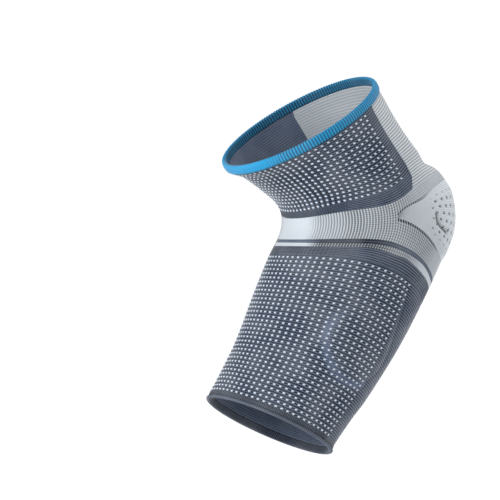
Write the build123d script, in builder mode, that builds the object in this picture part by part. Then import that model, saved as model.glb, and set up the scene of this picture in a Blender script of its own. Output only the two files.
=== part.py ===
"""Knitted elbow support: a bent compression sleeve with a rolled welt, a shaped elbow cup and two silicone pads.

Millimetres. The origin is the wearer's elbow joint and +Y is its axis. The arm lies in the XZ plane: the upper arm
leaves the elbow up and to the front (-X), the forearm down and to the front. The tip of the elbow points to +X.
"""

from build123d import *
import os
from math import cos, hypot, pi, radians, sin

# Driving dimensions

KNIT = 2.0  # thickness of the knitted wall
# Cross-sections of the sleeve's outside, from the welt to the hem: where it passes the front and the back of the
# arm, as (x, z), and half its width along the elbow's axis. The first and the last are circles.
STATIONS = [
    ((-94.7, 29.4), (-13.9, 81.2), 48.0),
    ((-89.0, 28.2), (-8.6, 73.7), 47.1),
    ((-83.5, 26.0), (-3.5, 66.0), 46.5),
    ((-72.0, 19.0), (12.5, 46.5), 46.0),
    ((-63.5, 12.0), (29.5, 32.5), 46.0),
    ((-60.5, 4.0), (37.0, 18.5), 47.0),
    ((-62.5, -4.5), (38.0, 0.5), 47.5),
    ((-68.0, -13.5), (30.5, -18.0), 47.0),
    ((-74.0, -25.0), (20.0, -38.0), 46.0),
    ((-81.5, -41.0), (6.5, -61.0), 44.5),
    ((-86.3, -52.3), (-5.6, -78.7), 43.3),
    ((-92.0, -64.0), (-18.5, -96.0), 41.5),
    ((-95.7, -70.4), (-24.4, -103.0), 40.7),
    ((-101.3, -79.6), (-30.7, -110.2), 39.4),
    ((-107.5, -88.8), (-40.6, -123.0), 37.6),
]
WELT_HEIGHT = 5.5
WELT_PROUD = 0.8  # how far the welt stands out of the knit below it
WELT_ROUNDING = 1.3
WELT_ELASTIC_DIAMETER = 1.2
HEM_HEIGHT = 4.5
HEM_ELASTIC_WIDTH = 2.4
HEM_ELASTIC_THICKNESS = 0.6
STRIPE_WIDTH = 2.3  # dark stripe under the crook band
LIGHT_STRIPE_WIDTH = 2.5
BODY_GAP = 0.3  # between the upper-arm knit and the forearm knit, which hinge on each other
PAD_THICKNESS = 3.5
PAD_FIT = 0.1  # between a pad and the knit round it
POCKET_KNIT = 0.8  # the thin facing that holds a pad
POCKET_RIM = 4.0  # how far the facing reaches past the pad

# Lines of the knit pattern, seen from the side, as (x, z)
STRIPE_LEVEL = -5.6  # middle of the dark stripe, level round the crook
STRIPE_BEND_X = -33.0  # where it starts to dip towards the back
STRIPE_BEND_RADIUS = 52.0
BORDER_LEVEL = -14.5  # lower edge of the plain knit below the stripes
BORDER_BEND_X = -51.0
BORDER_BEND_RADIUS = 60.0
PANEL_EDGE = [(-85.0, 2.0), (-6.5, 19.4), (-8.0, 28.0), (-25.5, 55.0), (-45.0, 95.0)]
PANEL_CORNER_RADIUS = 3.5
DOTS_EDGE = [(-85.0, 4.6), (0.0, 27.5)]  # lowest dots of the upper front panel
FOREARM_BACK_EDGE = [(8.0, 0.0), (-19.5, -55.0), (-37.0, -88.0), (-70.0, -137.0)]
CUP_APEX = (-20.0, 7.5)  # where the two fashioning lines of the elbow cup meet
CUP_TOP_LINE = [(-4.0, 15.6), (8.2, 25.1), (27.0, 35.5), (60.0, 52.0)]
CUP_LOWER_LINE = [(-9.0, 3.8), (2.0, -2.0), (9.0, -10.0), (24.0, -18.0), (60.0, -34.0)]
CROOK_END = (2.0, 13.0)  # the crook band ends on a line from the panel's corner to this point in the cup

# A pad is an egg shape that points at the elbow: its two ends, as (x, z, radius)
PAD_TOP = (-27.0, -36.0, 12.0)
PAD_BOTTOM = (-41.0, -64.0, 19.0)

OVAL_POINTS = 12  # points of a cross-section's curve
FAR = 160.0  # reach of the cutting shapes, beyond the sleeve
SIDE = 60.0  # half the depth of the cutting shapes


def section_plane(front, back):
    """The plane of a cross-section: its x runs from front to back, its normal towards the upper arm's mouth."""
    run, rise = back[0] - front[0], back[1] - front[1]
    middle = ((front[0] + back[0]) / 2, 0, (front[1] + back[1]) / 2)
    return Plane(origin=middle, x_dir=(run, 0, rise), z_dir=(-rise, 0, run))


def section_depth(front, back):
    """Half the distance from the front of a cross-section to its back."""
    return hypot(back[0] - front[0], back[1] - front[1]) / 2


def oval(depth, width):
    """A closed curve round an ellipse, always begun at the back so that neighbouring sections match."""
    turns = [2 * pi * step / OVAL_POINTS for step in range(OVAL_POINTS)]
    return Spline(*[(depth * cos(turn), width * sin(turn)) for turn in turns], periodic=True)


def arm_form(inset):
    """The solid form inside the sleeve, this far within the sleeve's outside."""
    with BuildPart() as form:
        for front, back, half_width in STATIONS:
            with BuildSketch(section_plane(front, back)):
                with BuildLine():
                    oval(section_depth(front, back) - inset, half_width - inset)
                make_face()
        loft()
    return form.part


def layer(outer_inset, inner_inset):
    """A layer of the sleeve between two depths below its outside."""
    with BuildPart() as shell:
        add(arm_form(outer_inset))
        add(arm_form(inner_inset), mode=Mode.SUBTRACT)
    return shell.part


def dipping_line(level, bend_x, radius, drop):
    """A line that is level at the front, dips through 45 degrees on an arc and runs on to the back."""
    low = level - drop
    arc_radius = radius - drop
    centre_z = low - arc_radius
    side = arc_radius * sin(radians(45))
    return low, arc_radius, (bend_x + side, centre_z + side)


def below(level, bend_x, radius, drop):
    """Everything under a dipping line, this far below its middle."""
    low, arc_radius, arc_end = dipping_line(level, bend_x, radius, drop)
    with BuildPart() as under:
        with BuildSketch(Plane.XZ):
            with BuildLine():
                Line((-FAR, low), (bend_x, low))
                JernArc((bend_x, low), (1, 0), arc_radius, -45)
                Line(arc_end, (arc_end[0] + FAR, arc_end[1] - FAR))
                Polyline((arc_end[0] + FAR, arc_end[1] - FAR), (-FAR, -2 * FAR), (-FAR, low))
            make_face()
        extrude(amount=SIDE, both=True)
    return under.part


def prism(*corners):
    """A straight-sided cutting shape through the whole sleeve."""
    with BuildPart() as block:
        with BuildSketch(Plane.XZ):
            with BuildLine():
                Polyline(*corners, close=True)
            make_face()
        extrude(amount=SIDE, both=True)
    return block.part


def front_panel_region():
    """Everything in front of and above the edge of the dotted panel on the upper arm."""
    with BuildPart() as region:
        with BuildSketch(Plane.XZ):
            with BuildLine():
                FilletPolyline(*PANEL_EDGE, radius=PANEL_CORNER_RADIUS)
                Polyline(PANEL_EDGE[-1], (-FAR, FAR), (-FAR, PANEL_EDGE[0][1]), PANEL_EDGE[0])
            make_face()
        extrude(amount=SIDE, both=True)
    return region.part


def cup_region():
    """The wedge between the two fashioning lines, open towards the tip of the elbow."""
    with BuildPart() as region:
        with BuildSketch(Plane.XZ):
            with BuildLine():
                Spline(CUP_APEX, *CUP_TOP_LINE)
                Line(CUP_TOP_LINE[-1], CUP_LOWER_LINE[-1])
                Spline(CUP_APEX, *CUP_LOWER_LINE)
            make_face()
        extrude(amount=SIDE, both=True)
    return region.part


def pad_prism(grow, side):
    """The pad outline, grown by this much, run through one side of the sleeve: side is -1 or +1, along Y."""
    with BuildPart() as block:
        with BuildSketch(Plane.XZ):
            for x, z, radius in (PAD_TOP, PAD_BOTTOM):
                with Locations((x, z)):
                    Circle(radius + grow)
            make_hull()
        extrude(amount=SIDE, dir=(0, side, 0))
    return block.part


def ring_plane(section):
    """The plane of a ring's profile: x runs outwards from the ring's axis, y along the axis."""
    return Plane(origin=section.origin, x_dir=section.x_dir, z_dir=-section.y_dir)


def write(piece, name):
    """Labels a finished piece and writes it."""
    piece.part.label = name
    export_step(piece.part, f"parts/{name}.step")


os.makedirs("parts", exist_ok=True)

wall = layer(0, KNIT)
front_region = front_panel_region()
cup = cup_region()
upper_plain_region = prism(*DOTS_EDGE, (FAR, DOTS_EDGE[-1][1]), (FAR, -FAR), (-FAR, -FAR), (-FAR, DOTS_EDGE[0][1]))
forearm_back_region = prism(*FOREARM_BACK_EDGE, (FAR, -FAR), (FAR, 0))
half_stripe = STRIPE_WIDTH / 2
stripes_end = half_stripe + LIGHT_STRIPE_WIDTH
stripe_line = (STRIPE_LEVEL, STRIPE_BEND_X, STRIPE_BEND_RADIUS)
below_crook = below(*stripe_line, -half_stripe)
below_gap = below(*stripe_line, BODY_GAP - half_stripe)
below_dark_stripe = below(*stripe_line, half_stripe)
below_stripes = below(*stripe_line, stripes_end)
below_border = below(BORDER_LEVEL, BORDER_BEND_X, BORDER_BEND_RADIUS, 0)

# Upper-arm knit

with BuildPart() as upper_knit:
    add(wall)
    add(below_crook, mode=Mode.SUBTRACT)

with BuildPart() as upper_front_panel:
    add(upper_knit.part)
    add(front_region, mode=Mode.INTERSECT)
    add(upper_plain_region, mode=Mode.SUBTRACT)
write(upper_front_panel, "upper_front_panel")

with BuildPart() as upper_plain_border:
    add(upper_knit.part)
    add(front_region, mode=Mode.INTERSECT)
    add(upper_plain_region, mode=Mode.INTERSECT)
write(upper_plain_border, "upper_plain_border")

with BuildPart() as elbow_cup:
    add(upper_knit.part)
    add(cup, mode=Mode.INTERSECT)
write(elbow_cup, "elbow_cup")

# The light knit that is left is parted by a line from the panel's corner into the cup.
back_panel_region = prism((-FAR, FAR), PANEL_EDGE[1], CROOK_END, (FAR, CROOK_END[1]), (FAR, FAR))
with BuildPart() as light_knit:
    add(upper_knit.part)
    add(front_region, mode=Mode.SUBTRACT)
    add(cup, mode=Mode.SUBTRACT)

with BuildPart() as upper_back_panel:
    add(light_knit.part)
    add(back_panel_region, mode=Mode.INTERSECT)
write(upper_back_panel, "upper_back_panel")

with BuildPart() as crook_band:
    add(light_knit.part)
    add(back_panel_region, mode=Mode.SUBTRACT)
write(crook_band, "crook_band")

# Forearm knit

with BuildPart() as forearm_knit:
    add(wall)
    add(below_gap, mode=Mode.INTERSECT)

with BuildPart() as dark_stripe:
    add(forearm_knit.part)
    add(below_dark_stripe, mode=Mode.SUBTRACT)
write(dark_stripe, "dark_stripe")

with BuildPart() as light_stripe:
    add(forearm_knit.part)
    add(below_dark_stripe, mode=Mode.INTERSECT)
    add(below_stripes, mode=Mode.SUBTRACT)
write(light_stripe, "light_stripe")

with BuildPart() as forearm_plain_border:
    add(forearm_knit.part)
    add(below_stripes, mode=Mode.INTERSECT)
    add(below_border, mode=Mode.SUBTRACT)
write(forearm_plain_border, "forearm_plain_border")

with BuildPart() as forearm_panel:
    add(forearm_knit.part)
    add(below_border, mode=Mode.INTERSECT)
    add(forearm_back_region, mode=Mode.SUBTRACT)
write(forearm_panel, "forearm_panel")

with BuildPart() as forearm_back_panel:
    add(forearm_knit.part)
    add(below_border, mode=Mode.INTERSECT)
    add(forearm_back_region, mode=Mode.INTERSECT)
write(forearm_back_panel, "forearm_back_panel")

# Welt and hem, each with its elastic inside

upper_front, upper_back, upper_radius = STATIONS[0]
welt_section = section_plane(upper_front, upper_back)
welt_axis = Axis(welt_section.origin, welt_section.z_dir)
welt_inner = upper_radius - KNIT
welt_thickness = KNIT + WELT_PROUD
welt_elastic_place = (welt_inner + welt_thickness / 2, WELT_HEIGHT / 2)

with BuildPart() as top_welt:
    with BuildSketch(ring_plane(welt_section)) as welt_profile:
        with Locations((welt_inner, 0)):
            Rectangle(welt_thickness, WELT_HEIGHT, align=Align.MIN)
        fillet(welt_profile.vertices().group_by(Axis.X)[-1], WELT_ROUNDING)
        with Locations(welt_elastic_place):
            Circle(WELT_ELASTIC_DIAMETER / 2, mode=Mode.SUBTRACT)
    revolve(axis=welt_axis)
write(top_welt, "top_welt")

with BuildPart() as welt_elastic:
    with BuildSketch(ring_plane(welt_section)):
        with Locations(welt_elastic_place):
            Circle(WELT_ELASTIC_DIAMETER / 2)
    revolve(axis=welt_axis)
write(welt_elastic, "welt_elastic")

fore_front, fore_back, fore_radius = STATIONS[-1]
hem_section = section_plane(fore_front, fore_back)
hem_axis = Axis(hem_section.origin, hem_section.z_dir)
hem_inner = fore_radius - KNIT
hem_elastic_place = (hem_inner + KNIT / 2, -HEM_HEIGHT / 2)

with BuildPart() as bottom_hem:
    with BuildSketch(ring_plane(hem_section)) as hem_profile:
        with Locations((hem_inner, -HEM_HEIGHT)):
            Rectangle(KNIT, HEM_HEIGHT, align=Align.MIN)
        with Locations(hem_elastic_place):
            Rectangle(HEM_ELASTIC_THICKNESS, HEM_ELASTIC_WIDTH, mode=Mode.SUBTRACT)
    revolve(axis=hem_axis)
write(bottom_hem, "bottom_hem")

with BuildPart() as hem_elastic:
    with BuildSketch(ring_plane(hem_section)):
        with Locations(hem_elastic_place):
            Rectangle(HEM_ELASTIC_THICKNESS, HEM_ELASTIC_WIDTH)
    revolve(axis=hem_axis)
write(hem_elastic, "hem_elastic")

# Pads and their pockets

for side, name in ((-1, "lateral"), (1, "medial")):
    with BuildPart() as pad:
        add(layer(KNIT + PAD_FIT, KNIT + PAD_THICKNESS))
        add(pad_prism(0, side), mode=Mode.INTERSECT)
    write(pad, f"{name}_pad")
    with BuildPart() as recess:
        add(layer(KNIT, KNIT + PAD_THICKNESS + PAD_FIT))
        add(pad_prism(PAD_FIT, side), mode=Mode.INTERSECT)
    with BuildPart() as pocket:
        add(layer(KNIT, KNIT + PAD_THICKNESS + PAD_FIT + POCKET_KNIT))
        add(pad_prism(POCKET_RIM, side), mode=Mode.INTERSECT)
        add(recess.part, mode=Mode.SUBTRACT)
    write(pocket, f"{name}_pad_pocket")
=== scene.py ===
"""The looks of a bent, knitted elbow support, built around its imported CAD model.

Every knitted zone is a closed layer with its own ribs, pits or mesh, and the pale floats are small pieces
of yarn on it. Sizes here are in millimetres, as in the CAD, and turn into metres as a mesh is made.
"""

import math
from types import SimpleNamespace

import bpy
import numpy as np
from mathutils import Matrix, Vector


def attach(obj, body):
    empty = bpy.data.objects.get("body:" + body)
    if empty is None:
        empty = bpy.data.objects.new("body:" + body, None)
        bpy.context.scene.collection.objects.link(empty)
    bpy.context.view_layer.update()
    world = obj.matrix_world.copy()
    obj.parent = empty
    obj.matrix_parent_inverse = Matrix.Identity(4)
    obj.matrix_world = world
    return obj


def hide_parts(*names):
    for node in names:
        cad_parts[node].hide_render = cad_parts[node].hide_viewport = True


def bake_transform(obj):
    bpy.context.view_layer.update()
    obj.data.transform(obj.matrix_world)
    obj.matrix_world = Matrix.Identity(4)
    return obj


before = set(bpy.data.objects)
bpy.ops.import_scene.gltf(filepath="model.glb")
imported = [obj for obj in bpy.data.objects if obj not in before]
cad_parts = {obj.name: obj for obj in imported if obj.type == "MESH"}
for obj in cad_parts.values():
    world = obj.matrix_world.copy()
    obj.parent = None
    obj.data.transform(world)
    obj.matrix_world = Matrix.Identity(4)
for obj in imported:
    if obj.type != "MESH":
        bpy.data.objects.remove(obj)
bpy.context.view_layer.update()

MM = 0.001
UPPER, FOREARM = "upper_arm_sleeve", "forearm_sleeve"

# ---- The sleeve's form ---------------------------------------------------------------------------

# Cross sections from the welt to the hem: front (x, z) and back (x, z) on the middle plane, and half width.
STATIONS = (
    ((-94.7, 29.4), (-13.9, 81.2), 48.0),
    ((-89.0, 28.2), (-8.6, 73.7), 47.1),
    ((-83.5, 26.0), (-3.5, 66.0), 46.5),
    ((-72.0, 19.0), (12.5, 46.5), 46.0),
    ((-63.5, 12.0), (29.5, 32.5), 46.0),
    ((-60.5, 4.0), (37.0, 18.5), 47.0),
    ((-62.5, -4.5), (38.0, 0.5), 47.5),
    ((-68.0, -13.5), (30.5, -18.0), 47.0),
    ((-74.0, -25.0), (20.0, -38.0), 46.0),
    ((-81.5, -41.0), (6.5, -61.0), 44.5),
    ((-86.3, -52.3), (-5.6, -78.7), 43.3),
    ((-92.0, -64.0), (-18.5, -96.0), 41.5),
    ((-95.7, -70.4), (-24.4, -103.0), 40.7),
    ((-101.3, -79.6), (-30.7, -110.2), 39.4),
    ((-107.5, -88.8), (-40.6, -123.0), 37.6),
)
LAST_STATION = len(STATIONS) - 1
KNIT_THICKNESS = 2.0

# Lines on the middle plane, as (x, z), that part the knitted zones.
PANEL_CORNER = (-10.8, 21.8)
PANEL_BOTTOM = ((-61.0, 5.2), (-47.2, 9.1), (-32.3, 11.6), (-20.3, 15.6), PANEL_CORNER)
PANEL_SIDE = (PANEL_CORNER, (-10.3, 29.0), (-13.9, 36.1), (-25.0, 51.0), (-34.0, 64.0), (-47.0, 95.0))
DOTS_END = ((-61.5, 8.6), (-51.7, 12.7), (-40.7, 16.0), (-30.8, 19.2), (-20.6, 24.2), (-12.0, 31.0))
BEHIND_PANEL = (PANEL_CORNER, (-0.9, 26.7), (6.0, 29.4), (16.5, 31.9), (30.0, 33.0), (60.0, 34.0))
CUP_APEX = (-21.7, 5.8)
CUP_TOP = (
    CUP_APEX, (-15.3, 11.1), (-6.8, 14.8), (-0.9, 18.0),
    (5.0, 22.0), (12.0, 25.0), (20.0, 27.0), (38.0, 28.5),
)
CUP_LOWER = (
    CUP_APEX, (-13.1, 3.0), (-5.5, -1.0), (1.2, -5.5),
    (7.7, -10.7), (15.4, -16.3), (24.0, -20.5), (38.0, -26.0),
)
STRIPE_TOP = (
    (-64.0, -6.3), (-45.0, -5.8), (-30.0, -6.5), (-19.9, -9.2),
    (-7.9, -14.6), (5.6, -23.6), (20.0, -33.5),
)
STRIPE_MIDDLE = (
    (-64.0, -8.1), (-45.0, -8.3), (-33.0, -8.9), (-19.9, -12.1),
    (-4.4, -19.3), (5.6, -26.4), (20.0, -36.5),
)
STRIPE_BOTTOM = (
    (-65.0, -9.9), (-45.0, -10.3), (-33.3, -11.5), (-19.9, -15.7),
    (-11.6, -19.3), (11.4, -33.8), (25.0, -43.0),
)
BORDER_BOTTOM = (
    (-69.0, -14.3), (-54.5, -15.2), (-39.8, -17.8), (-25.9, -22.4),
    (-13.4, -28.2), (0.0, -36.0), (15.0, -45.5),
)
FOREARM_SIDE = ((8.0, 0.0), (-19.5, -55.0), (-37.0, -88.0), (-70.0, -137.0))
CREASE = ((5.4, 7.7), (6.0, 4.0), (9.0, 0.8), (15.2, -2.4))
# The circles, as x, z and radius, that the egg shape of a pad wraps.
PAD_TOP, PAD_BOTTOM = (-27.0, -36.0, 12.0), (-41.0, -64.0, 19.0)
PAD_MIDDLE = (-35.0, -52.0)

# How far the knit stands out over the pads and the cup, and dips round the pads and in the folds.
PAD_BULGE, PAD_RIM_DIP = 1.0, 0.35
CUP_BULGE = 0.9
FOLD_DEPTH, FOLD_STATION, FOLD_WIDTH = 2.1, 3.4, 0.24
CREASE_DEPTH, CREASE_WIDTH = 1.3, 1.0

TAU = 2 * math.pi
ANGLES = np.linspace(0, math.pi, 721)
TRACE_STATIONS = np.linspace(0, LAST_STATION, 281)
TRACE_ANGLES = np.linspace(0, math.pi, 37)
# How often the search for a crossing and the one for a stitch's place are refined.
BISECTIONS = 30
FAN_STEPS = 20
WALES_PER_FLOAT = 3


def smooth(low, high, value):
    """0 up to low, 1 from high on, and a smooth rise between them."""
    share = np.clip((value - low) / (high - low), 0, 1)
    return share * share * (3 - 2 * share)


def natural_spline(values):
    """The smooth curve through these values, one for each whole number, as a function of the number."""
    values = np.asarray(values, float)
    count = len(values)
    system = np.eye(count)
    bends = np.zeros(count)
    for i in range(1, count - 1):
        system[i, i - 1 : i + 2] = (1, 4, 1)
        bends[i] = 6 * (values[i - 1] - 2 * values[i] + values[i + 1])
    bends = np.linalg.solve(system, bends)

    def curve(place):
        low = np.clip(np.floor(place).astype(int), 0, count - 2)
        after = place - low
        before = 1 - after
        straight = values[low] * before + values[low + 1] * after
        return straight + ((before**3 - before) * bends[low] + (after**3 - after) * bends[low + 1]) / 6

    return curve


front_x, front_z = (natural_spline([s[0][i] for s in STATIONS]) for i in (0, 1))
back_x, back_z = (natural_spline([s[1][i] for s in STATIONS]) for i in (0, 1))
half_width = natural_spline([s[2] for s in STATIONS])


def section_point(station, angle):
    """A point of the smooth outer form. Angle 0 is the crook side, pi the tip; positive angles face -Y."""
    station, angle = np.broadcast_arrays(np.asarray(station, float), np.asarray(angle, float))
    towards_front = np.cos(angle)
    x = (front_x(station) * (1 + towards_front) + back_x(station) * (1 - towards_front)) / 2
    z = (front_z(station) * (1 + towards_front) + back_z(station) * (1 - towards_front)) / 2
    return np.stack((x, -half_width(station) * np.sin(angle), z), axis=-1)


def unit(vectors):
    return vectors / np.linalg.norm(vectors, axis=-1, keepdims=True)


def directions(station, angle):
    """The unit vectors along the sleeve, round it, and outwards."""
    step = 0.001
    along = unit(section_point(station + step, angle) - section_point(station - step, angle))
    around = unit(section_point(station, angle + step) - section_point(station, angle - step))
    return along, around, unit(np.cross(along, around))


def folded(angle):
    """The same angle on the -Y half of the sleeve, from 0 to pi."""
    return np.abs((angle + math.pi) % TAU - math.pi)


def polyline(points):
    """A line of the middle plane as z for x, straight between its points and beyond its ends."""
    points = np.array(sorted(points))
    reach = 200.0
    before, after = points[0] - points[1], points[-1] - points[-2]
    start = points[0] + before * reach / abs(before[0])
    end = points[-1] + after * reach / abs(after[0])
    points = np.vstack((start, points, end))

    def height(x):
        return np.interp(x, points[:, 0], points[:, 1])

    return height


def flowing(points):
    """A line of the middle plane as z for x, curved through its points."""
    places = np.linspace(0, len(points) - 1, 20 * len(points))
    x, z = (natural_spline([p[i] for p in points])(places) for i in (0, 1))
    return polyline(np.stack((x, z), axis=-1).tolist())


def crossing(line):
    """For an angle, the station where the sleeve crosses a line of the middle plane."""
    low = np.zeros_like(ANGLES)
    high = np.full_like(ANGLES, LAST_STATION)
    for _ in range(BISECTIONS):
        middle = (low + high) / 2
        place = section_point(middle, ANGLES)
        above = place[:, 2] > line(place[:, 0])
        low = np.where(above, middle, low)
        high = np.where(above, high, middle)

    def station(angle):
        return np.interp(folded(angle), ANGLES, low)

    return station


def side_crossing(points):
    """For a station, the angle where the sleeve crosses a line that runs along the arm."""
    points = np.array(sorted(points, key=lambda p: p[1]))
    low = np.full_like(TRACE_STATIONS, 0.3)
    high = np.full_like(TRACE_STATIONS, math.pi - 0.3)
    for _ in range(BISECTIONS):
        middle = (low + high) / 2
        place = section_point(TRACE_STATIONS, middle)
        in_front = place[:, 0] < np.interp(place[:, 2], points[:, 1], points[:, 0])
        low = np.where(in_front, middle, low)
        high = np.where(in_front, high, middle)

    def angle(station):
        return np.interp(station, TRACE_STATIONS, low)

    return angle


def locate(x, z):
    """The station and angle on the -Y side of the point of the sleeve that has this x and z."""
    low = np.zeros(np.shape(x))
    high = np.full(np.shape(x), float(LAST_STATION))
    for _ in range(BISECTIONS):
        middle = (low + high) / 2
        front = np.stack((front_x(middle), front_z(middle)), axis=-1)
        back = np.stack((back_x(middle), back_z(middle)), axis=-1)
        across = back - front
        beside = across[..., 0] * (z - front[..., 1]) - across[..., 1] * (x - front[..., 0])
        low = np.where(beside < 0, middle, low)
        high = np.where(beside < 0, high, middle)
    behind_front = np.stack((x, z), axis=-1) - front
    share = (behind_front * across).sum(-1) / (across**2).sum(-1)
    return middle, np.arccos(np.clip(1 - 2 * share, -1, 1))


def length_table():
    """How far along the sleeve each traced station lies from the welt, at each traced angle."""
    traced = section_point(TRACE_STATIONS[:, None], TRACE_ANGLES[None, :])
    steps = np.linalg.norm(np.diff(traced, axis=0), axis=-1)
    return np.vstack((0 * TRACE_ANGLES, np.cumsum(steps, axis=0)))


LENGTHS = length_table()


def length_to(station, angle):
    """The length along the sleeve down to a station, and how fast it grows with the station."""
    row = np.clip(station / LAST_STATION, 0, 1) * (len(TRACE_STATIONS) - 1)
    column = folded(angle) / math.pi * (len(TRACE_ANGLES) - 1)
    above = np.minimum(row.astype(int), len(TRACE_STATIONS) - 2)
    left = np.minimum(column.astype(int), len(TRACE_ANGLES) - 2)
    across = column - left
    start = LENGTHS[above, left] * (1 - across) + LENGTHS[above, left + 1] * across
    end = LENGTHS[above + 1, left] * (1 - across) + LENGTHS[above + 1, left + 1] * across
    return start + (end - start) * (row - above), (end - start) * (len(TRACE_STATIONS) - 1) / LAST_STATION


def line_distance(points, x, z):
    """How far a point of the middle plane is from a line of straight pieces."""
    nearest = np.full(np.shape(x), np.inf)
    for (ax, az), (bx, bz) in zip(points, points[1:]):
        run, rise = bx - ax, bz - az
        share = np.clip(((x - ax) * run + (z - az) * rise) / (run**2 + rise**2), 0, 1)
        nearest = np.minimum(nearest, np.hypot(x - ax - share * run, z - az - share * rise))
    return nearest


def pad_distance(x, z):
    """How far a point of the middle plane is outside the pads' egg-shaped outline; negative inside."""
    ends = np.array((PAD_TOP, PAD_BOTTOM))
    distances = [
        np.hypot(x - ex, z - ez) - radius
        for ex, ez, radius in (ends[0] * (1 - t) + ends[1] * t for t in np.linspace(0, 1, 25))
    ]
    return np.min(distances, axis=0)


cup_top_line, cup_lower_line = flowing(CUP_TOP), flowing(CUP_LOWER)
panel_bottom_line, behind_panel_line = flowing(PANEL_BOTTOM), flowing(BEHIND_PANEL)


def light_top_line(x):
    """The upper limit of the crook's light knit: the dotted panel, then the course on from its corner."""
    return np.where(x < PANEL_CORNER[0], panel_bottom_line(x), behind_panel_line(x))


def swell(station, angle):
    """How far the knit stands out from the smooth form: over the pads and the cup, and in at the folds."""
    place = section_point(station, angle)
    x, z = place[..., 0], place[..., 2]
    outside = pad_distance(x, z)
    pad = PAD_BULGE * smooth(3.0, -4.0, outside) - PAD_RIM_DIP * np.exp(-(((outside - 2.5) / 1.2) ** 2))
    inside_cup = np.minimum(cup_top_line(x) - z, z - cup_lower_line(x))
    cup = CUP_BULGE * smooth(0.0, 7.0, inside_cup) * smooth(CUP_APEX[0], 8.0, x)
    back = smooth(1.9, 2.6, folded(angle))
    fold_over_cup = FOLD_DEPTH * back * np.exp(-(((station - FOLD_STATION) / FOLD_WIDTH) ** 2))
    crease = CREASE_DEPTH * np.exp(-((line_distance(CREASE, x, z) / CREASE_WIDTH) ** 2))
    return pad + cup - fold_over_cup - crease


def surface(station, angle, height):
    """A point at this height over the sleeve's outer face, in metres."""
    lift = height + swell(station, angle)
    outwards = directions(station, angle)[2]
    return (section_point(station, angle) + outwards * lift[..., None]) * MM


# ---- Knitted zones -------------------------------------------------------------------------------


def welt_edge(angle):
    return np.zeros_like(angle)


def hem_edge(angle):
    return np.full_like(angle, LAST_STATION)


def full_turn(station):
    return np.full_like(station, math.pi)


panel_bottom = crossing(panel_bottom_line)
dots_end = crossing(flowing(DOTS_END))
light_top = crossing(light_top_line)
cup_top = crossing(cup_top_line)
cup_lower = crossing(cup_lower_line)
stripe_top = crossing(flowing(STRIPE_TOP))
stripe_middle = crossing(flowing(STRIPE_MIDDLE))
stripe_bottom = crossing(flowing(STRIPE_BOTTOM))
border_bottom = crossing(flowing(BORDER_BOTTOM))
panel_side = side_crossing(PANEL_SIDE)
forearm_side = side_crossing(FOREARM_SIDE)


class Zone:
    """A zone of the sleeve between two edges and two sides, whose courses and wales fan to fill it.
    front_stretch makes the wales wider at the front of the arm and narrower behind it."""

    def __init__(self, top, bottom, courses, half_wales, side=full_turn, centre=0.0, front_stretch=0.0):
        self.top, self.bottom, self.side, self.centre = top, bottom, side, centre
        self.courses, self.half_wales = courses, half_wales
        self.front_stretch = front_stretch
        self.whole = side is full_turn

    def place(self, course, wale):
        """The station and angle of a stitch. Wales count from the middle of the zone."""
        down = course / self.courses
        turn = wale / self.half_wales * math.pi
        across = (turn + self.front_stretch * np.sin(turn)) / math.pi
        angle = self.centre + math.pi * across
        station = (self.top(angle) + self.bottom(angle)) / 2
        for _ in range(FAN_STEPS):
            angle = self.centre + (self.side(station) - self.centre) * across
            start = length_to(self.top(angle), angle)[0]
            end = length_to(self.bottom(angle), angle)[0]
            here, slope = length_to(station, angle)
            station = np.clip(station + (start + (end - start) * down - here) / slope, 0, LAST_STATION)
        return station, angle

    def grid(self, samples, columns_per_wale=1):
        """Courses, wales, stations and angles on a grid of stitches, with so many rows for each course."""
        rows = np.linspace(0, self.courses, self.courses * samples + 1)
        columns = np.linspace(-self.half_wales, self.half_wales, 2 * self.half_wales * columns_per_wale + 1)
        # Behind the arm the angle falls as the wales rise, so they are turned round to keep faces outwards.
        if self.centre:
            columns = columns[::-1]
        course, wale = np.meshgrid(rows, columns, indexing="ij")
        station, angle = self.place(course, wale)
        return SimpleNamespace(course=course, wale=wale, station=station, angle=angle, whole=self.whole)


def build_mesh(name, vertices, faces, flat_faces=0):
    """A smooth-shaded mesh, in metres. The last flat_faces faces, all quads, stay flat and sharp-edged."""
    mesh = bpy.data.meshes.new(name)
    mesh.from_pydata(vertices.tolist(), [], faces)
    smooth_faces = np.ones(len(faces), bool)
    if flat_faces:
        smooth_faces[-flat_faces:] = False
        corner_edges = np.zeros(len(mesh.loops), np.int32)
        mesh.loops.foreach_get("edge_index", corner_edges)
        sharp_edges = np.zeros(len(mesh.edges), bool)
        sharp_edges[corner_edges[-4 * flat_faces :]] = True
        mesh.edges.foreach_set("use_edge_sharp", sharp_edges)
    mesh.polygons.foreach_set("use_smooth", smooth_faces)
    mesh.update()
    piece = bpy.data.objects.new(name, mesh)
    bpy.context.scene.collection.objects.link(piece)
    return piece


def paint(piece, tone, stitches):
    """Stores each vertex's tone, its depth in the knit and the painted shade that the materials darken it
    by, and each corner's wale and course, for the materials.
    """
    mesh = piece.data
    mesh.attributes.new("tone", "FLOAT", "POINT").data.foreach_set("value", tone.astype(np.float32))
    layer = mesh.uv_layers.new(name="stitches")
    layer.data.foreach_set("uv", stitches.astype(np.float32).ravel())


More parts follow.
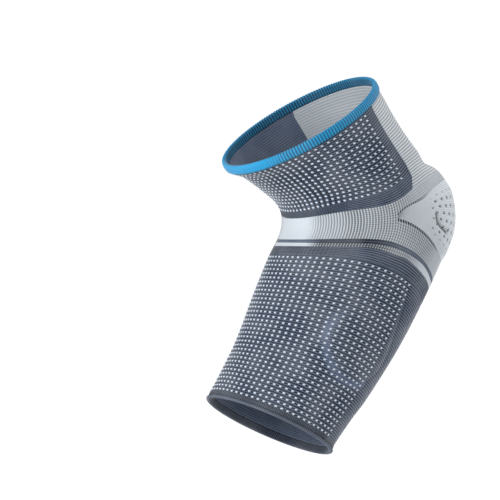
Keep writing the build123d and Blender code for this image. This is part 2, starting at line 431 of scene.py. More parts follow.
def knit_layer(name, grid, relief, material, keep=None, joined_row=None, joined=None):
    """A closed layer of knit over a grid. relief gives its height and tone, and keep says which cells there
    are. joined_row and joined name a row whose marked columns are one with the row after it."""
    rows, columns = grid.station.shape
    height, tone = relief(grid)
    outer = surface(grid.station, grid.angle, height).reshape(-1, 3)
    inner = surface(grid.station, grid.angle, np.full_like(height, -KNIT_THICKNESS)).reshape(-1, 3)
    vertex = np.arange(rows * columns).reshape(rows, columns)
    if joined_row is not None:
        vertex[joined_row + 1, joined] = vertex[joined_row, joined]
    if grid.whole:
        vertex[:, -1] = vertex[:, 0]
    vertex = vertex.ravel()
    raw = np.arange(rows * columns).reshape(rows, columns)
    cells = np.stack((raw[:-1, :-1], raw[1:, :-1], raw[1:, 1:], raw[:-1, 1:]), axis=-1).reshape(-1, 4)
    if keep is not None:
        cells = cells[keep.ravel()]
    # An edge that only one cell has is on the border, and gets a wall down to the inner face.
    starts, ends = cells.ravel(), np.roll(cells, -1, axis=1).ravel()
    low = np.minimum(vertex[starts], vertex[ends])
    high = np.maximum(vertex[starts], vertex[ends])
    _, where, counts = np.unique(low * rows * columns + high, return_inverse=True, return_counts=True)
    border = (counts[where] == 1) & (low != high)
    walls = np.stack((ends[border], starts[border], starts[border], ends[border]), axis=-1)
    under = np.array((0, 0, 1, 1)) * rows * columns
    corners = np.vstack((cells, cells[:, ::-1], walls))
    shift = np.vstack((0 * cells, 0 * cells + rows * columns, 0 * walls + under))
    used, faces = np.unique(vertex[corners] + shift, return_inverse=True)
    points = np.vstack((outer, inner))[used]
    tones = np.concatenate((tone.ravel(), 0.15 + 0.45 * tone.ravel()))[used]
    piece = build_mesh(name, points, faces.reshape(-1, 4).tolist(), len(walls))
    stitches = np.stack((grid.wale.ravel()[corners], grid.course.ravel()[corners]), axis=-1)
    paint(piece, tones, stitches)
    piece.data.materials.append(material)
    return piece


def valley(position, width):
    """1 on whole numbers, falling to 0 this far beside them."""
    beside = np.abs(position - np.round(position))
    return 1 - smooth(0, width, beside)


def knit_lines(grid, phase, between, share):
    """Dark valleys along the courses, which at the front of the arm give way, by this share, to ones
    between wales."""
    front = share * (1 - smooth(32, 64, np.degrees(folded(grid.angle))))
    along_course = valley(2 * (grid.course - phase), 0.5)
    between_wales = valley(grid.wale / between + 0.5, 1.3 / between)
    return along_course * (1 - 0.75 * front), between_wales * front


def dotted_relief(phase, front_share):
    """Two ribs for each row of floats, which lie in every second valley, phase courses past a whole one."""

    def relief(grid):
        along_course, between_wales = knit_lines(grid, phase, WALES_PER_FLOAT, front_share)
        place = section_point(grid.station, grid.angle)
        rim = pad_distance(place[..., 0], place[..., 2])
        # Painted highlight: a pale sheen along the lower part of the pads' rims, which takes the dark lines
        # out of the knit there and lightens it.
        painted_rim_sheen = 0.42 * np.exp(-(((rim - 3.5) / 2.2) ** 2)) * smooth(-40, -52, place[..., 2])
        tone = np.clip(1.9 * along_course + between_wales, 0, 1)
        return -0.45 * along_course, tone * (1 - painted_rim_sheen) - 0.3 * painted_rim_sheen

    return relief


def ribbed_relief(phase):
    """One rib for each half course, as beside the rows of floats."""

    def relief(grid):
        along_course, between_wales = knit_lines(grid, phase, WALES_PER_FLOAT / 2, 0.55)
        return -0.45 * along_course, np.clip(1.5 * along_course + between_wales, 0, 1)

    return relief


def back_relief(grid):
    """One rib for each course."""
    ribs = valley(grid.course + 0.5, 0.5)
    return -0.36 * ribs, 0.85 * ribs


# ---- Materials -----------------------------------------------------------------------------------


def linear(colour):
    """A colour written as sRGB from 0 to 255, as Blender's linear values."""
    share = np.array(colour) / 255
    values = np.where(share <= 0.04045, share / 12.92, ((share + 0.055) / 1.055) ** 2.4)
    return (*values.tolist(), 1.0)


class Nodes:
    """Adds and links shader nodes of one material."""

    def __init__(self, name):
        self.material = bpy.data.materials.new(name)
        self.material.use_nodes = True
        self.tree = self.material.node_tree
        self.shader = self.tree.nodes["Principled BSDF"]

    def add(self, kind, inputs=(), **settings):
        node = self.tree.nodes.new(kind)
        for key, value in settings.items():
            setattr(node, key, value)
        for key, value in dict(inputs).items():
            self.put(node, key, value)
        return node

    def put(self, node, key, value):
        if isinstance(value, bpy.types.NodeSocket):
            self.tree.links.new(value, node.inputs[key])
        else:
            node.inputs[key].default_value = value

    def math(self, operation, first, second=0.0):
        return self.add("ShaderNodeMath", {0: first, 1: second}, operation=operation).outputs[0]

    def mix(self, share, first, second):
        node = self.add("ShaderNodeMix", data_type="RGBA")
        for key, value in ((0, share), (6, first), (7, second)):
            self.put(node, key, value)
        return node.outputs[2]


def yarn_material(name, crest, valley_colour, sheen=0.35, patch=0.12, loop=0.25):
    """Knitted yarn, with V-shaped loops, uneven patches and a soft sheen. It is darker in its valleys,
    partly as painted shade and partly for the darker yarn deep in the knit.
    """
    nodes = Nodes(name)
    tone = nodes.add("ShaderNodeAttribute", attribute_name="tone").outputs["Fac"]
    stitches = nodes.add("ShaderNodeUVMap", uv_map="stitches").outputs[0]
    place = nodes.add("ShaderNodeTexCoord").outputs["Object"]
    split = nodes.add("ShaderNodeSeparateXYZ", {0: stitches})
    leaning = nodes.math("SINE", nodes.math("MULTIPLY", split.outputs[1], 2 * TAU))
    slant = nodes.math("ADD", split.outputs[0], nodes.math("MULTIPLY", leaning, 0.18))
    loops = nodes.math("SINE", nodes.math("MULTIPLY", slant, TAU))
    loop_shade = nodes.math("MULTIPLY", nodes.math("ADD", loops, 1.0), loop / 2)
    fibres = nodes.add("ShaderNodeTexNoise", {"Vector": place, "Scale": 2600.0, "Detail": 3.0}).outputs[0]
    patches = nodes.add("ShaderNodeTexNoise", {"Vector": place, "Scale": 55.0, "Detail": 4.0}).outputs[0]
    uneven = nodes.math("MULTIPLY", nodes.math("SUBTRACT", fibres, 0.5), 0.5)
    # The tone mixes in the valley colour. It carries painted shade: in the knit's valleys, pits and holes
    # (partly also the darker yarn there), along the crease, round the rolls and under the floats.
    ground = nodes.mix(nodes.math("ADD", tone, uneven), linear(crest), linear(valley_colour))
    ground = nodes.mix(loop_shade, ground, linear(valley_colour))
    patch_share = nodes.math("MULTIPLY", nodes.math("SUBTRACT", patches, 0.35), patch * 2)
    ground = nodes.mix(patch_share, ground, linear((235, 238, 242)))
    relief = nodes.math("ADD", nodes.math("MULTIPLY", loops, 2.4 * loop), fibres)
    bump = nodes.add("ShaderNodeBump", {"Strength": 0.5, "Distance": 0.15 * MM, "Height": relief})
    nodes.put(nodes.shader, "Base Color", ground)
    nodes.put(nodes.shader, "Normal", bump.outputs[0])
    nodes.put(nodes.shader, "Roughness", 0.85)
    nodes.put(nodes.shader, "Sheen Weight", sheen)
    nodes.put(nodes.shader, "Sheen Roughness", 0.3)
    nodes.put(nodes.shader, "Specular IOR Level", 0.3)
    return nodes.material


def moulded_material(name, colour, roughness, coat):
    """Moulded silicone or rubber, faintly mottled, with a fine matte grain."""
    nodes = Nodes(name)
    place = nodes.add("ShaderNodeTexCoord").outputs["Object"]
    mottle = nodes.add("ShaderNodeTexNoise", {"Vector": place, "Scale": 90.0, "Detail": 3.0}).outputs[0]
    grain = nodes.add("ShaderNodeTexNoise", {"Vector": place, "Scale": 3000.0, "Detail": 2.0}).outputs[0]
    share = nodes.math("MULTIPLY", mottle, 0.35)
    nodes.put(nodes.shader, "Base Color", nodes.mix(share, linear(colour), linear((225, 232, 236))))
    rough = nodes.math("ADD", nodes.math("MULTIPLY", grain, 0.2), roughness)
    bump = nodes.add("ShaderNodeBump", {"Strength": 0.3, "Distance": 0.05 * MM, "Height": grain})
    nodes.put(nodes.shader, "Roughness", rough)
    nodes.put(nodes.shader, "Normal", bump.outputs[0])
    nodes.put(nodes.shader, "Coat Weight", coat)
    return nodes.material


slate = yarn_material("slate_yarn", (108, 124, 152), (6, 9, 16), sheen=0.5, loop=0.1)
plain_slate = yarn_material("plain_slate_yarn", (106, 121, 146), (16, 20, 30), sheen=0.5, loop=0.1)
stripe_slate = yarn_material("stripe_yarn", (104, 118, 140), (20, 25, 36), sheen=0.4, loop=0.12)
light_grey = yarn_material("light_mesh_yarn", (189, 196, 203), (30, 36, 45), loop=0.03)
cup_grey = yarn_material("cup_yarn", (210, 217, 223), (36, 42, 50), loop=0.0)
back_grey = yarn_material("back_rib_yarn", (208, 214, 219), (84, 92, 102), loop=0.03)
float_yarn = yarn_material("float_yarn", (218, 226, 235), (128, 140, 158), sheen=0.2, loop=0.05)
welt_blue = yarn_material("welt_yarn", (36, 148, 200), (6, 26, 42), sheen=0.25, patch=0.04, loop=0.1)
hem_slate = yarn_material("hem_yarn", (84, 96, 116), (14, 18, 26), sheen=0.4, loop=0.1)
lining = yarn_material("lining_yarn", (150, 158, 170), (92, 100, 112))
silicone = moulded_material("pad_silicone", (140, 173, 190), 0.42, 0.15)
elastic_rubber = moulded_material("elastic_rubber", (216, 214, 205), 0.6, 0.0)

# ---- Pieces --------------------------------------------------------------------------------------


def follow_bend(piece):
    """Bakes the piece's placement into its mesh."""
    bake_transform(piece)


def knitted(node, grid, relief, material, slot, flat, area=None, with_pieces=(), **layer):
    """A knitted zone that stands for a CAD node: its layer of knit, baked in place, with the node hidden.
    flat, its flat size in metres, is not used.
    """
    piece = knit_layer(f"{node}_knit", grid, relief, material, **layer)
    follow_bend(piece)
    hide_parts(node)


def bead(around, rings):
    """The vertices and faces of a small round bead of radius 1."""
    polar = np.linspace(0, math.pi, rings + 1)[1:-1]
    turn = np.arange(around) * TAU / around
    circle = np.stack((np.cos(turn), np.sin(turn), np.ones(around)), axis=-1)
    circles = [circle * (math.sin(p), math.sin(p), math.cos(p)) for p in polar]
    vertices = np.vstack(([[0, 0, 1.0]], *circles, [[0, 0, -1.0]]))
    last = len(vertices) - 1
    faces = []
    for i in range(around):
        j = (i + 1) % around
        faces.append((0, 1 + i, 1 + j))
        for ring in range(len(polar) - 1):
            base = 1 + ring * around
            faces.append((base + i, base + around + i, base + around + j, base + j))
        base = 1 + (len(polar) - 1) * around
        faces.append((last, base + j, base + i))
    return vertices, faces


# A float's radii around the arm, along it and outwards, and its middle's height over the knit.
FLOAT_RADII = (0.88, 0.54, 0.5)
FLOAT_HEIGHT = -0.1


def floats(name, station, angle):
    """Short lengths of pale yarn that lie on the knit, as one mesh."""
    along, around, outwards = directions(station, angle)
    centres = surface(station, angle, np.full_like(station, FLOAT_HEIGHT))
    shape, faces = bead(8, 4)
    sized = shape * np.array(FLOAT_RADII) * MM
    axes = np.stack((around, -along, outwards), axis=1)
    vertices = (centres[:, None, :] + np.einsum("vk,nkc->nvc", sized, axes)).reshape(-1, 3)
    all_faces = [
        tuple(base + corner for corner in face)
        for base in range(0, len(vertices), len(shape))
        for face in faces
    ]
    piece = build_mesh(name, vertices, all_faces)
    corners = np.zeros(len(piece.data.loops), np.int32)
    piece.data.loops.foreach_get("vertex_index", corners)
    local = np.tile(shape, (len(centres), 1))
    # The tone paints shade on each float, darker towards its underside where it lies on the knit.
    paint(piece, 0.4 * (1 - local[:, 2]), local[corners][:, :2] * 0.5)
    piece.data.materials.append(float_yarn)
    follow_bend(piece)
    return piece


def float_places(zone, phase, rows, side_gap):
    """Where the floats lie: on every third wale of each row, clear of the sides by this angle."""
    last_float = zone.half_wales // WALES_PER_FLOAT
    wales = np.arange(-last_float, last_float + 1.0) * WALES_PER_FLOAT
    course, wale = np.meshgrid(phase + np.arange(rows), wales, indexing="ij")
    station, angle = zone.place(course.ravel(), wale.ravel())
    clear = np.abs(angle) < zone.side(station) - side_gap
    return station[clear], angle[clear]


UPPER_ROWS, UPPER_PHASE = 15, 0.57
FOREARM_ROWS, FOREARM_PHASE = 33, 0.72


def mouth(station, direction):
    """The middle of a mouth of the sleeve and the way out of it. direction is 1 for the welt's, -1 for
    the hem's."""
    front, back = (np.array((point[0], 0.0, point[1])) for point in STATIONS[station][:2])
    across = unit(back - front)
    return (front + back) / 2, direction * np.array((-across[2], 0.0, across[0]))


STEPS_PER_RIB = 6
STEPS_PER_POINT = 3
RIBS_FADE = 25


def rolled_edge(
    name, node, centre, outwards, profile, shade, ribs, pinch, ribs_from, material, slot, body,
):
    """A knitted roll round a mouth of the sleeve. profile is a smooth closed outline of distance from the
    mouth's axis and height, pinched between its ribs, which fade in up to ribs_from degrees beside the
    front. shade gives each outline point's painted shade."""
    front = np.cross(outwards, (0, 1, 0))
    side = np.cross(outwards, front)
    samples = STEPS_PER_POINT * len(profile)
    # Three turns of the outline, of which the middle one is used, make its spline run on smoothly.
    looped = 3 * list(profile)
    places = len(profile) + np.arange(samples) / STEPS_PER_POINT
    radius, height = (natural_spline([point[i] for point in looped])(places) for i in (0, 1))
    painted_profile_shade = np.interp(places - len(profile), range(len(profile) + 1), (*shade, shade[0]))
    columns = STEPS_PER_RIB * ribs
    turn = np.arange(columns) * TAU / columns
    ribbed = smooth(ribs_from - RIBS_FADE, ribs_from, np.degrees(folded(turn)))
    notch = (valley(np.arange(columns) / STEPS_PER_RIB, 0.34) * ribbed)[:, None]
    squeeze = 1 - pinch * notch
    middle = ((radius.max() + radius.min()) / 2, (height.max() + height.min()) / 2)
    radius = middle[0] + (radius - middle[0]) * squeeze
    # The lower side stays where it is, against the sleeve.
    height = np.where(height > middle[1], middle[1] + (height - middle[1]) * squeeze, height)
    spokes = np.cos(turn)[:, None] * front + np.sin(turn)[:, None] * side
    points = centre + spokes[:, None, :] * radius[..., None] + outwards * height[..., None]
    around, along = np.meshgrid(np.arange(columns), np.arange(samples), indexing="ij")
    next_around, next_along = (around + 1) % columns, (along + 1) % samples
    corners = (around * samples + along, next_around * samples + along)
    corners += (next_around * samples + next_along, around * samples + next_along)
    faces = np.stack([corner.ravel() for corner in corners], axis=-1)
    piece = build_mesh(name, points.reshape(-1, 3) * MM, faces.tolist())
    # The tone is the outline's painted shade. It is darker in the pinched grooves between the ribs, partly
    # as painted shade there, as in the knit's valleys.
    tone = np.clip(painted_profile_shade[None, :] + 0.9 * notch, 0, 1).ravel()
    wale = np.stack((around, around + 1, around + 1, around), axis=-1).reshape(-1, 4) / STEPS_PER_RIB
    course = np.stack((along, along, along + 1, along + 1), axis=-1).reshape(-1, 4) / STEPS_PER_POINT
    paint(piece, tone, np.stack((wale, course), axis=-1).reshape(-1, 2))
    piece.data.materials.append(material)
    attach(piece, body)
    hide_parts(node)
    return piece


WELT_PROFILE = (
    (48.85, 1.3), (48.95, 2.75), (48.8, 4.2), (48.2, 5.2), (47.3, 5.5),
    (46.4, 5.1), (46.0, 4.2), (46.0, 2.75), (46.0, 1.2), (46.4, 0.3), (47.4, 0.0), (48.4, 0.3),
)
# The welt's painted shade: darker on the roll's inner side and underneath, against the sleeve.
WELT_SHADE = (0.0, 0.0, 0.0, 0.0, 0.1, 0.3, 0.4, 0.4, 0.4, 0.4, 0.5, 0.35)
HEM_PROFILE = (
    (37.6, 0.6), (37.6, 1.7), (37.55, 2.6), (37.1, 2.95), (37.9, 3.2), (38.2, 3.8), (37.8, 4.4),
    (37.0, 4.6), (36.1, 4.4), (35.6, 3.6), (35.6, 2.2), (35.7, 0.6), (36.2, 0.0), (37.1, 0.0),
)
# The hem's painted shade: darkest in its groove, and darker on its body, inner side and underside than on
# its roll.
HEM_SHADE = (0.45, 0.4, 0.5, 1.0, 0.1, 0.0, 0.0, 0.1, 0.3, 0.4, 0.4, 0.4, 0.5, 0.5)

# Upper arm
welt = rolled_edge(
    "welt_roll", "top_welt", *mouth(0, 1), WELT_PROFILE, WELT_SHADE,
    ribs=174, pinch=0.16, ribs_from=47, material=welt_blue, slot="welt_knit", body=UPPER,
)
upper_zone = Zone(welt_edge, dots_end, courses=UPPER_ROWS, half_wales=73, side=panel_side)
upper_spots = float_places(upper_zone, UPPER_PHASE, UPPER_ROWS, math.radians(10))
upper_floats = floats("upper_panel_floats", *upper_spots)
knitted(
    "upper_front_panel", upper_zone.grid(6), dotted_relief(UPPER_PHASE, 1.0), slate, "slate_knit",
    flat=(0.175, 0.04), with_pieces=[upper_floats, welt],
)

border_zone = Zone(dots_end, panel_bottom, courses=3, half_wales=73, side=panel_side)
knitted(
    "upper_plain_border", border_zone.grid(8, 2), ribbed_relief(0.0), plain_slate, "slate_knit",
    flat=(0.175, 0.01), area=0.001,
)

back_zone = Zone(welt_edge, light_top, courses=34, half_wales=40, side=panel_side, centre=math.pi)
knitted("upper_back_panel", back_zone.grid(4), back_relief, back_grey, "light_knit", flat=(0.1, 0.06))

# Crook and cup share their wales. In front of the cup's apex the upper and the lower courses meet.
CROOK_WALES = 105
FRONT_STRETCH = 0.2
CROOK_COLUMNS = 4
UPPER_COURSES, LOWER_COURSES, CUP_COURSES = 6, 9, 36
# The courses and wales from one perforation of the cup to the next.
HOLE_COURSES, HOLE_WALES = 4, 5
apex_station, apex_angle = locate(np.array(CUP_APEX[0]), np.array(CUP_APEX[1]))
apex_share = (apex_station - light_top(apex_angle)) / (stripe_top(apex_angle) - light_top(apex_angle))
ring_turns = np.arange(CROOK_WALES + 1) / CROOK_WALES * math.pi
wale_angles = ring_turns + FRONT_STRETCH * np.sin(ring_turns)
apex_wale = int(np.searchsorted(wale_angles, float(apex_angle)))
cup_start = float(wale_angles[apex_wale])


def meeting(angle):
    """The station where the crook's upper and lower courses meet, in front of the apex."""
    return light_top(angle) + (stripe_top(angle) - light_top(angle)) * apex_share


def upper_end(angle):
    return np.where(folded(angle) < cup_start - 1e-6, meeting(angle), cup_top(angle))


def lower_start(angle):
    return np.where(folded(angle) < cup_start - 1e-6, meeting(angle), cup_lower(angle))


def mesh_relief(grid):
    """Smooth in the crook's middle, then ribs along the arm, then a mesh of pits, with eyelets along the
    cup's edges and ribs along the courses behind."""
    turn = np.degrees(folded(grid.angle))
    along_wale = valley(grid.wale, 0.48)
    ribs = along_wale * smooth(14, 27, turn) * (1 - 0.62 * smooth(46, 62, turn))
    mesh = smooth(38, 58, turn) * (1 - grid.ribbed) * (1 - 0.75 * smooth(104, 124, turn))
    pits = along_wale * valley(grid.course, 0.5) * mesh
    course_ribs = valley(grid.course, 0.5) * grid.ribbed
    eyelets = valley(grid.wale, 0.55) * grid.eyelets
    height = -0.35 * ribs - 0.5 * pits - 0.3 * course_ribs - 1.0 * eyelets
    tone = 0.75 * ribs * (1 - grid.ribbed) + 1.3 * pits + 0.5 * course_ribs + 1.8 * eyelets
    return height, np.clip(tone, 0, 1)


def dark_stripe_relief(grid):
    """Two courses of slate knit, darker and notched between the wales at the sides of the arm."""
    turn = np.degrees(folded(grid.angle))
    ribs = valley(grid.course + 0.5, 0.5)
    sides = smooth(18, 34, turn) * (1 - smooth(60, 95, turn))
    notches = valley(grid.wale, 0.5) * sides
    return -0.3 * ribs - 0.15 * notches, np.clip(0.9 * ribs + 0.35 * sides + 0.4 * notches, 0, 1)


def light_stripe_relief(grid):
    """Two courses of light knit, broken by dark gaps between the wales at the sides of the arm."""
    turn = np.degrees(folded(grid.angle))
    broken = smooth(18, 34, turn) * (1 - 0.45 * smooth(66, 84, turn)) * (1 - smooth(92, 116, turn))
    gaps = np.maximum(valley(grid.wale, 0.5), 0.7 * valley(grid.course, 0.4)) * broken
    return -0.3 * gaps, np.clip(1.6 * gaps, 0, 1)


upper_crook_zone = Zone(light_top, upper_end, UPPER_COURSES, CROOK_WALES, front_stretch=FRONT_STRETCH)
lower_crook_zone = Zone(lower_start, stripe_top, LOWER_COURSES, CROOK_WALES, front_stretch=FRONT_STRETCH)
crook_upper = upper_crook_zone.grid(3, CROOK_COLUMNS)
crook_lower = lower_crook_zone.grid(3, CROOK_COLUMNS)
turns = np.degrees(folded(crook_upper.angle[0]))
beside_cup = np.abs(crook_upper.wale[0]) >= apex_wale
crook_upper.ribbed = smooth(80, 98, np.degrees(folded(crook_upper.angle)))
crook_upper.eyelets = np.zeros_like(crook_upper.course)
crook_upper.eyelets[-3:-1] = beside_cup * (1 - smooth(92, 110, turns)) * 0.6
crook_lower.ribbed = np.zeros_like(crook_lower.course)
crook_lower.eyelets = np.zeros_like(crook_lower.course)
crook_lower.eyelets[1:3] = beside_cup * (1 - smooth(106, 126, turns))
crook_grid = SimpleNamespace(whole=True)
for field in ("course", "wale", "station", "angle", "eyelets", "ribbed"):
    setattr(crook_grid, field, np.vstack((getattr(crook_upper, field), getattr(crook_lower, field))))
upper_rows = len(crook_upper.course)
drop = crook_upper.station[-1] - crook_upper.station[0]
crook_keep = np.ones((len(crook_grid.course) - 1, crook_grid.course.shape[1] - 1), bool)
crook_keep[: upper_rows - 1] = (np.minimum(drop[:-1], drop[1:]) > 0.01)[None, :]
crook_keep[upper_rows - 1] = False
knitted(
    "crook_band", crook_grid, mesh_relief, light_grey, "light_knit", flat=(0.3, 0.022),
    keep=crook_keep, joined_row=upper_rows - 1, joined=~beside_cup,
)


def cup_relief(grid):
    """Fine courses, with a staggered group of perforations over the tip and a painted shadow along the
    crease.
    """
    turn = np.degrees(folded(grid.angle))
    place = section_point(grid.station, grid.angle)
    ribs = valley(grid.course, 0.48)
    row = np.round(grid.course / HOLE_COURSES)
    staggered = grid.wale / HOLE_WALES + 0.5 * (row % 2)
    holes = valley(grid.course / HOLE_COURSES, 0.26) * valley(staggered, 0.22)
    edge_distance = np.minimum(grid.course, CUP_COURSES - grid.course)
    inside = smooth(103, 109, turn) * (edge_distance > HOLE_COURSES)
    # Painted shadow along the crease, over the groove that swell dips there; the perforations stay out of
    # it.
    crease = np.exp(-((line_distance(CREASE, place[..., 0], place[..., 2]) / 0.9) ** 2))
    holes = 1.4 * holes * inside * (1 - crease)
    tone = 0.42 * ribs + holes + 0.6 * crease
    return -0.15 * ribs - 0.7 * holes, np.clip(tone, 0, 1)


def cup_side(station):
    return np.full_like(station, cup_start)


cup_zone = Zone(cup_top, cup_lower, CUP_COURSES, CROOK_WALES - apex_wale, side=cup_side, centre=math.pi)
knitted("elbow_cup", cup_zone.grid(2, 2), cup_relief, cup_grey, "light_knit", flat=(0.2, 0.04), area=0.0045)

# Forearm
dark_zone = Zone(stripe_top, stripe_middle, 2, CROOK_WALES, front_stretch=FRONT_STRETCH)
knitted(
    "dark_stripe", dark_zone.grid(4, 4), dark_stripe_relief, stripe_slate, "slate_knit",
    flat=(0.3, 0.01), area=0.001,
)
light_zone = Zone(stripe_middle, stripe_bottom, 2, CROOK_WALES, front_stretch=FRONT_STRETCH)
knitted(
    "light_stripe", light_zone.grid(4, 4), light_stripe_relief, light_grey, "light_knit",
    flat=(0.3, 0.01), area=0.001,
)
plain_zone = Zone(stripe_bottom, border_bottom, 3, CROOK_WALES, front_stretch=FRONT_STRETCH)
knitted(
    "forearm_plain_border", plain_zone.grid(8, 2), ribbed_relief(0.0), plain_slate, "slate_knit",
    flat=(0.3, 0.01),
)

hem = rolled_edge(
    "hem_roll", "bottom_hem", *mouth(LAST_STATION, -1), HEM_PROFILE, HEM_SHADE,
    ribs=200, pinch=0.06, ribs_from=0, material=hem_slate, slot="slate_knit", body=FOREARM,
)
forearm_zone = Zone(border_bottom, hem_edge, courses=FOREARM_ROWS, half_wales=69, side=forearm_side)
forearm_spots = float_places(forearm_zone, FOREARM_PHASE, FOREARM_ROWS, math.radians(1))
forearm_floats = floats("forearm_panel_floats", *forearm_spots)
knitted(
    "forearm_panel", forearm_zone.grid(6), dotted_relief(FOREARM_PHASE, 0.5), slate, "slate_knit",
    flat=(0.17, 0.09), with_pieces=[forearm_floats, hem],
)

forearm_back_zone = Zone(
    border_bottom, hem_edge, courses=FOREARM_ROWS, half_wales=37, side=forearm_side, centre=math.pi
)
knitted(
    "forearm_back_panel", forearm_back_zone.grid(6), ribbed_relief(FOREARM_PHASE), slate, "slate_knit",
    flat=(0.095, 0.085),
)

# ---- Pads and their pockets ----------------------------------------------------------------------

# Heights over the sleeve's outer face: just under the knit, and on the skin side of a pad.
UNDER_KNIT, PAD_SKIN = -2.1, -5.05
PAD_EDGE_RADIUS = 1.3
NUB_ROW, NUB_PITCH, NUB_HEIGHT = 4.0, 4.6, 0.45
# A facing reaches past its pad by the margin, and drops from the knit to the pad's skin side.
FACING_MARGIN, FACING_DROP, FACING_THICKNESS, FACING_STITCH = 4.0, 3.5, 0.8, 1.4


def inside_point(x, z, height, side):
    """The point at this height over the sleeve's outer face that has this x and z, on the side where y is
    negative for side 1 and positive for side -1."""
    aim_x, aim_z = x, z
    for _ in range(4):
        station, angle = locate(aim_x, aim_z)
        place = surface(station, angle, height) / MM
        aim_x = aim_x + x - place[..., 0]
        aim_z = aim_z + z - place[..., 2]
    station, angle = locate(aim_x, aim_z)
    return surface(station, side * angle, height)


def egg_grid(margin, rings, spokes):
    """Points of the middle plane over the pad outline grown by a margin, closer together near its edge."""
    turn = np.arange(spokes) * TAU / spokes
    low, high = np.zeros(spokes), np.full(spokes, 60.0)

    def spoke_point(reach):
        return PAD_MIDDLE[0] + reach * np.cos(turn), PAD_MIDDLE[1] + reach * np.sin(turn)

    for _ in range(BISECTIONS):
        reach = (low + high) / 2
        inside = pad_distance(*spoke_point(reach)) < margin
        low, high = np.where(inside, reach, low), np.where(inside, high, reach)
    share = 1 - (1 - np.linspace(0.01, 1, rings)[:, None]) ** 1.5
    return spoke_point(share * reach)


def egg_shell(name, margin, heights, side, rings, spokes):
    """A closed egg-shaped piece. heights gives its outer and its skin-side height for a place."""
    x, z = egg_grid(margin, rings, spokes)
    outer, skin = heights(x, z)
    points = np.concatenate((inside_point(x, z, outer, side), inside_point(x, z, skin, side)[::-1]))
    rows = 2 * rings
    ring = np.arange(spokes)
    following = np.roll(ring, -1)
    faces = [tuple(reversed(ring.tolist())), tuple((ring + (rows - 1) * spokes).tolist())]
    for row in range(rows - 1):
        base, above = row * spokes, (row + 1) * spokes
        quads = np.stack((base + ring, base + following, above + following, above + ring), axis=-1)
        faces.extend(quads.tolist())
    if side > 0:
        faces = [tuple(reversed(face)) for face in faces]
    piece = build_mesh(name, points.reshape(-1, 3), faces)
    corners = np.zeros(len(piece.data.loops), np.int32)
    piece.data.loops.foreach_get("vertex_index", corners)
    places = np.stack((x, z), axis=-1)
    stitches = np.concatenate((places, places[::-1])).reshape(-1, 2) / FACING_STITCH
    paint(piece, np.full(len(stitches), 0.2), stitches[corners])
    return piece


def pad_heights(x, z):
    """A moulded pad with rounded edges and, towards the skin, rows of low nubs."""
    inside = -pad_distance(x, z)
    beside_edge = 1 - np.clip(inside / PAD_EDGE_RADIUS, 0, 1)
    rounding = PAD_EDGE_RADIUS * (1 - np.sqrt(1 - beside_edge**2))
    row = np.round(z / NUB_ROW)
    staggered = x / NUB_PITCH + 0.5 * (row % 2)
    nubs = valley(z / NUB_ROW, 0.34) * valley(staggered, 0.3) * smooth(2.0, 4.0, inside)
    return UNDER_KNIT - rounding, PAD_SKIN + rounding - NUB_HEIGHT * nubs


def pocket_heights(x, z):
    """A thin facing that lies against the knit round its rim and runs under the pad inside it."""
    facing = UNDER_KNIT - FACING_DROP * smooth(2.8, 0.4, pad_distance(x, z))
    return facing, facing - FACING_THICKNESS


for name, side in (("lateral", 1), ("medial", -1)):
    pad = egg_shell(f"{name}_pad_moulding", 0.0, pad_heights, side, rings=30, spokes=144)
    pad.data.materials.append(silicone)
    follow_bend(pad)
    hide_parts(f"{name}_pad")
    facing_name = f"{name}_pocket_facing"
    pocket = egg_shell(facing_name, FACING_MARGIN, pocket_heights, side, rings=26, spokes=120)
    pocket.data.materials.append(lining)
    follow_bend(pocket)
    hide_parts(f"{name}_pad_pocket")

for node in ("welt_elastic", "hem_elastic"):
    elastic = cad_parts[node]
    elastic.data.materials.clear()
    elastic.data.materials.append(elastic_rubber)

# ---- Camera, light and floor, in metres ----------------------------------------------------------

VIEW_AZIMUTH, VIEW_ELEVATION = math.radians(-30.0), math.radians(0.5)
VIEW_DISTANCE = 1.5
VIEW_RIGHT, VIEW_UP = -0.0764, -0.0125
SENSOR_WIDTH, LENS = 36.0, 189.5
LIGHT_TARGET = (-0.04, 0, -0.02)
FLOOR_LEVEL, FLOOR_HALF_WIDTH = -0.34, 1.1


def look(thing, target):
    """Turns a camera or light to face a point."""
    thing.rotation_euler = (Vector(target) - thing.location).to_track_quat("-Z", "Y").to_euler()


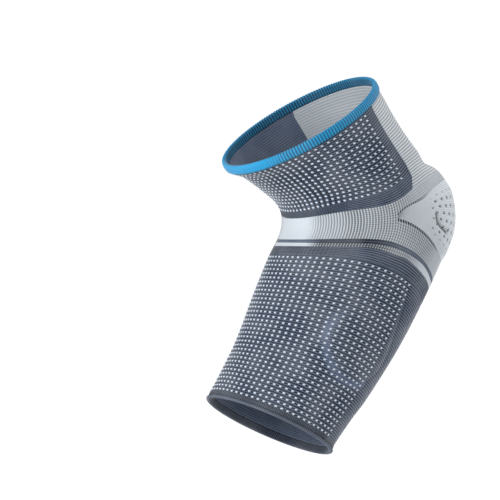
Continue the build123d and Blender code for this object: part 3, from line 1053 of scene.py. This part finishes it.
def add_camera():
    right = Vector((math.cos(VIEW_AZIMUTH), math.sin(VIEW_AZIMUTH), 0))
    level_back = Vector((math.sin(VIEW_AZIMUTH), -math.cos(VIEW_AZIMUTH), 0))
    back = level_back * math.cos(VIEW_ELEVATION) + Vector((0, 0, math.sin(VIEW_ELEVATION)))
    up = back.cross(right)
    target = right * VIEW_RIGHT + up * VIEW_UP
    data = bpy.data.cameras.new("camera")
    data.sensor_width = SENSOR_WIDTH
    data.lens = LENS
    camera = bpy.data.objects.new("camera", data)
    bpy.context.scene.collection.objects.link(camera)
    camera.location = target + back * VIEW_DISTANCE
    look(camera, target)
    bpy.context.scene.camera = camera


def add_area_light(name, location, size, power):
    data = bpy.data.lights.new(name, "AREA")
    data.shape = "SQUARE"
    data.size = size
    data.energy = power
    light = bpy.data.objects.new(name, data)
    bpy.context.scene.collection.objects.link(light)
    light.location = location
    look(light, LIGHT_TARGET)


def add_world(seen, lit):
    """A white backdrop for the camera, and a softer white light from all round."""
    world = bpy.data.worlds.new("studio")
    world.use_nodes = True
    bpy.context.scene.world = world
    tree = world.node_tree
    background = tree.nodes["Background"]
    background.inputs["Color"].default_value = (1, 1, 1, 1)
    path = tree.nodes.new("ShaderNodeLightPath")
    strength = tree.nodes.new("ShaderNodeMapRange")
    strength.inputs["To Min"].default_value = lit
    strength.inputs["To Max"].default_value = seen
    tree.links.new(path.outputs["Is Camera Ray"], strength.inputs["Value"])
    tree.links.new(strength.outputs[0], background.inputs["Strength"])


def add_floor():
    signs = np.array(((-1, -1), (1, -1), (1, 1), (-1, 1)))
    corners = np.hstack((signs * FLOOR_HALF_WIDTH, np.full((4, 1), FLOOR_LEVEL)))
    floor = build_mesh("floor", corners, [(0, 1, 2, 3)])
    nodes = Nodes("pale_floor")
    place = nodes.add("ShaderNodeTexCoord").outputs["Object"]
    mottle = nodes.add("ShaderNodeTexNoise", {"Vector": place, "Scale": 3.0}).outputs[0]
    colour = nodes.mix(mottle, linear((238, 239, 240)), linear((246, 246, 247)))
    nodes.put(nodes.shader, "Base Color", colour)
    nodes.put(nodes.shader, "Roughness", 0.9)
    floor.data.materials.append(nodes.material)


add_camera()
add_world(seen=1.05, lit=0.37)
add_area_light("key", (-1.4, -0.9, 0.7), 0.9, 19)
add_area_light("rim", (1.35, -0.05, 0.9), 1.0, 22)
add_area_light("side", (-1.5, 0.35, 0.3), 0.8, 11)
add_floor()
bpy.context.scene.view_settings.view_transform = "Standard"
